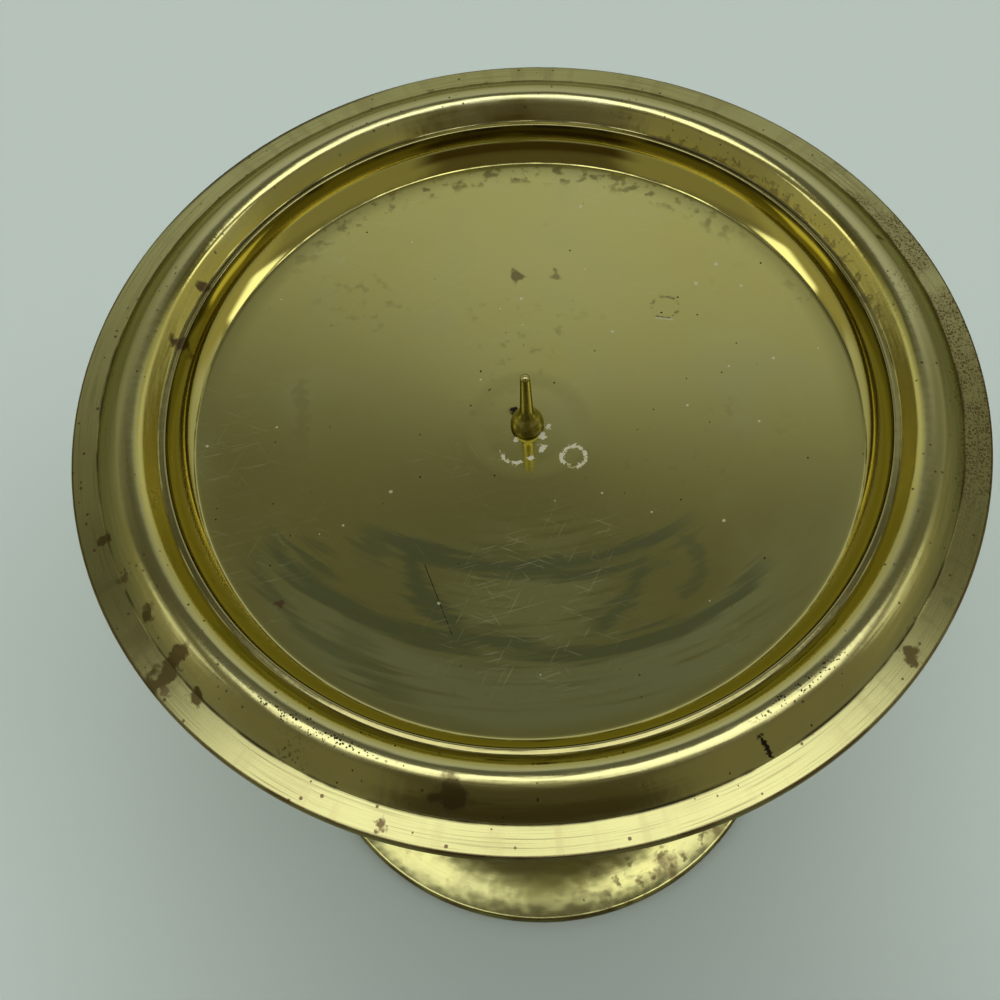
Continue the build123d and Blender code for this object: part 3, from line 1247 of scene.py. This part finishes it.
@dataclass
class Foot(TurnedPiece):
    """Hollow trumpet foot with a flat crown, a wide skirt and an upright edge."""

    name, node, slot = "trumpet_foot", "foot", "foot_brass"
    wall: float = 2.0 * MM
    edge: float = 2.0 * MM
    skirt_width: float = 16.4 * MM
    skirt_rise: float = 6.2 * MM
    edge_round: float = 0.8 * MM
    rest_round: float = 0.4 * MM
    crown_radius: float = 12.5 * MM
    crown_round: float = 1.5 * MM
    hole_radius: float = 4.2 * MM

    def __post_init__(self) -> None:
        """Takes the foot's reach from its CAD box."""
        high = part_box(self.node)[1]
        self.radius, self.height = high.x, high.z

    def outline(self) -> list[Vector]:
        """Draws the foot's half section: the outside from the crown to the table, then back inside.

        Returns:
            Points of the closed section.
        """
        outside = Outline(self.hole_radius, self.height)
        outside.line(self.crown_radius, self.height, self.crown_round)
        outside.arc(self.radius - self.skirt_width, self.edge + self.skirt_rise, (0, -1), steps=36)
        outside.arc(self.radius, self.edge, steps=20)
        outside.rounds[-1] = self.edge_round
        return outside.line(self.radius, 0).sheet(self.wall, self.rest_round)

    def finish(self) -> Material:
        """Makes the brass of the foot."""
        return FootBrass().material(self)


@dataclass
class FootWasher(TurnedPiece):
    """Plain washer with rounded edges, under the foot's crown."""

    name, node, slot = "plain_washer", "foot_washer", "fastener_steel"
    bore_radius: float = 4.2 * MM
    edge_round: float = 0.3 * MM

    def outline(self) -> list[Vector]:
        """Draws the washer's half section round from its bore.

        Returns:
            Points of the closed section.
        """
        low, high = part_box(self.node)
        half = Outline(self.bore_radius, low.z)
        half.line(high.x, low.z, self.edge_round).line(high.x, high.z, self.edge_round)
        return half.line(self.bore_radius, high.z).line(self.bore_radius, low.z).path()

    def finish(self) -> Material:
        """Makes the steel of the washer."""
        return PlatedSteel("washer_steel_finish").material()


@dataclass
class FootNut(TurnedPiece):
    """Hexagon nut with chamfered corners, on the stem's tenon."""

    name, node, slot = "hex_nut", "foot_nut", "fastener_steel"
    bore_radius: float = 4.05 * MM
    bore_chamfer: float = 0.5 * MM
    corner_chamfer: float = 0.55 * MM

    def __post_init__(self) -> None:
        """Takes the nut's reach from its CAD box."""
        self.low, self.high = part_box(self.node)

    def outline(self) -> list[Vector]:
        """Draws the half section of the chamfered ring that the nut is cut from.

        Returns:
            Points of the closed section.
        """
        low_z, high_z, flat_radius = self.low.z, self.high.z, self.high.y
        corner_radius, mouth_radius = self.high.x + MERGE_GAP, self.bore_radius + self.bore_chamfer
        half = Outline(self.bore_radius, low_z + self.bore_chamfer)
        half.line(mouth_radius, low_z).line(flat_radius, low_z)
        half.line(corner_radius, low_z + self.corner_chamfer)
        half.line(corner_radius, high_z - self.corner_chamfer)
        half.line(flat_radius, high_z).line(mouth_radius, high_z)
        half.line(self.bore_radius, high_z - self.bore_chamfer)
        return half.line(self.bore_radius, low_z + self.bore_chamfer).path()

    def shape(self, lathe: Lathe) -> Piece:
        """Turns the chamfered ring and cuts its six flats.

        Args:
            lathe: Lathe that spins the ring.

        Returns:
            The finished nut.
        """
        piece = super().shape(lathe)
        bpy.ops.object.select_all(action="DESELECT")
        bpy.ops.mesh.primitive_cylinder_add(
            vertices=6,
            radius=self.high.x,
            depth=2 * (self.high.z - self.low.z),
            location=(0, 0, (self.low.z + self.high.z) / 2),
            rotation=(0, 0, math.radians(30)),
        )
        hexagon = bpy.context.object
        bpy.context.view_layer.objects.active = piece
        cut = piece.modifiers.new("flats", "BOOLEAN")
        cut.operation = "INTERSECT"
        cut.object = hexagon
        bpy.ops.object.modifier_apply(modifier=cut.name)
        bpy.data.objects.remove(hexagon)
        return piece

    def finish(self) -> Material:
        """Makes the steel of the nut."""
        return PlatedSteel("nut_steel_finish").material()


@dataclass(frozen=True)
class Glow:
    """Soft-edged patch of light or shade in the tent.

    It reaches between two angles to the back and two to the right, in degrees from straight overhead,
    and a slant tips its front and back edges.
    """

    name: str
    level: float
    tint: Color
    back: Point
    side: Point
    soft: float
    slant: float = 0.0

    def colour(self) -> Color:
        """Gives the patch's light."""
        return tuple(self.level * channel for channel in self.tint)


@dataclass
class Studio:
    """Pale floor, the soft light of a white tent, and the camera."""

    paper: Color = (0.520, 0.575, 0.500)
    paper_rough: float = 0.9
    paper_corners: int = 96
    paper_reach: float = 3.0
    # painted shade: from paper_bright out to paper_dim the paper darkens to dim_share of its colour
    paper_bright: float = 0.25
    paper_dim: float = 1.2
    dim_share: float = 0.55
    # painted shadow: where, how wide and how dark the paper is darkened in front of the object
    shade_at: Point = (0.0, -0.115)
    shade_reach: float = 0.17
    shade_share: float = 0.46
    open_side: Color = (0.32, 0.31, 0.205)
    horizon: Color = (0.46, 0.49, 0.45)
    horizon_top: Point = (0.16, 0.07)
    patches: tuple[Glow, ...] = (
        Glow("front_walls", 0.42, ROOM, (-88, -42), (-75, 75), 6),
        Glow("left_wall", 0.62, ROOM, (-100, 100), (-100, -66), 6),
        Glow("right_wall", 0.62, ROOM, (-100, 100), (66, 100), 6),
        Glow("ceiling_sides", 0.11, ROOM, (8, 60), (-58, 58), 5),
        Glow("ceiling_gap", 0.20, (0.95, 1.0, 0.90), (6, 60), (-24, 24), 5),
        Glow("back_wall", 0.93, (0.93, 1.0, 1.10), (32.75, 100), (-70, 70), 4.25, slant=0.185),
        Glow("left_turn", 0.50, (0.93, 1.0, 0.9), (26, 48), (-66, -30), 8),
        Glow("right_turn", 0.55, (0.93, 1.0, 0.9), (26, 48), (32, 66), 8),
        Glow("low_wall", 0.78, (0.93, 1.0, 1.0), (58, 100), (-70, 70), 9),
        Glow("lamp", 3.8, (0.94, 1.0, 1.12), (-20, 3.3), (-34, 44), 3.5),
        Glow("left_lamp", 3.0, (0.94, 1.0, 1.05), (-30, 10), (-71, -57), 3),
        Glow("right_lamp", 3.0, (0.94, 1.0, 1.05), (-30, 10), (57, 71), 3),
        Glow("lamp_notch", 0.5, ROOM, (-34, -13), (-8, 5), 3),
        Glow("mid_front", 0.15, (1.05, 0.95, 0.55), (-66, -28), (-26, 20), 4),
        Glow("dark_front", 0.06, (1.2, 0.88, 0.3), (-92, -64), (-30, 24), 4),
    )
    camera_focal: float = 54.0
    camera_sensor: float = 36.0
    camera_distance: float = 0.2469
    camera_elevation: float = 57.99
    camera_yaw: float = -2.49
    camera_pitch: float = 61.51
    camera_roll: float = -5.07

    def build_paper(self) -> None:
        """Lays the pale floor, with painted shade that dims it gently far from the object and a painted
        shadow in front of it.
        """
        bpy.ops.object.select_all(action="DESELECT")
        bpy.ops.mesh.primitive_circle_add(
            vertices=self.paper_corners, radius=self.paper_reach, fill_type="NGON"
        )
        paper = bpy.context.object
        paper.name = "paper_floor"
        board = Surface("pale_paper", self.paper, self.paper_rough, metal=0.0)
        # painted shade: the paper darkens far from the object
        dim = tuple(self.dim_share * channel for channel in self.paper)
        board.colour = board.mix(board.fade(board.radius, self.paper_bright, self.paper_dim), self.paper, dim)
        # painted shadow: the paper darkens in a soft spot in front of the object
        off = board.vector("DISTANCE", board.flat, (*self.shade_at, 0))
        shade = board.fade(off, self.shade_reach, 0.0, self.shade_share)
        board.colour = board.mix(shade, board.colour, (0, 0, 0))
        paper.data.materials.append(board.finish())

    def build_light(self) -> None:
        """Lights the object with the tent's soft patches, all of them in the world around it."""
        world = bpy.data.worlds.new("white_tent")
        bpy.context.scene.world = world
        world.use_nodes = True
        board = NodeBoard(world.node_tree)
        way = board.node("SeparateXYZ", {0: board.node("TexCoord", {}).outputs["Generated"]}).outputs
        back = board.math("DEGREES", board.math("ARCTAN2", way["Y"], way["Z"]))
        side = board.math("DEGREES", board.math("ARCSINE", way["X"]))
        light: Color | Socket = self.open_side
        for patch in self.patches:
            slanted = board.math("MULTIPLY_ADD", side, patch.slant, back)
            across = board.span(side, *patch.side, patch.soft)
            share = board.times(board.span(slanted, *patch.back, patch.soft), across)
            light = board.mix(share, light, patch.colour())
            LOG.info("light: %s", patch.name)
        light = board.mix(board.fade(way["Z"], *self.horizon_top), light, self.horizon)
        background = board.node("Background", {"Color": light})
        board.node("OutputWorld", {"Surface": background.outputs["Background"]})

    def build_camera(self, rim_z: float) -> None:
        """Stands the camera where the photograph was taken from.

        Args:
            rim_z: Height of the pan's rim, which the camera's place is counted from.
        """
        data = bpy.data.cameras.new("camera")
        data.lens = self.camera_focal
        data.sensor_width = self.camera_sensor
        camera = bpy.data.objects.new("camera", data)
        elevation = math.radians(self.camera_elevation)
        stand = Vector((0, -math.cos(elevation), math.sin(elevation))) * self.camera_distance
        yaw, pitch = math.radians(self.camera_yaw), math.radians(self.camera_pitch)
        ahead = Vector((math.sin(yaw) * math.cos(pitch), math.cos(yaw) * math.cos(pitch), -math.sin(pitch)))
        right = Vector((math.cos(yaw), -math.sin(yaw), 0))
        level = Matrix((right, right.cross(ahead), -ahead)).transposed().to_4x4()
        roll = Matrix.Rotation(math.radians(self.camera_roll), 4, "Z")
        camera.matrix_world = Matrix.Translation(stand + Vector((0, 0, rim_z))) @ level @ roll
        bpy.context.scene.collection.objects.link(camera)
        bpy.context.scene.camera = camera


def main() -> None:
    """Builds the pieces and the studio in order."""
    logging.basicConfig(level=logging.INFO)
    bpy.context.scene.view_settings.view_transform = "Standard"
    pan = DripPan()
    wide, slim = Lathe(WIDE_STEPS), Lathe(SLIM_STEPS)
    makers = (
        (pan, wide),
        (Pricket(pan.floor_z), slim),
        (Stem(), slim),
        (Foot(), wide),
        (FootWasher(), slim),
        (FootNut(), slim),
    )
    for maker, lathe in makers:
        piece = maker.build(lathe)
        maker.dress(piece)
        LOG.info("%s: %d faces", piece.name, len(piece.data.polygons))
    studio = Studio()
    studio.build_paper()
    studio.build_light()
    studio.build_camera(pan.rim_z)


if __name__ == "__main__":
    main()
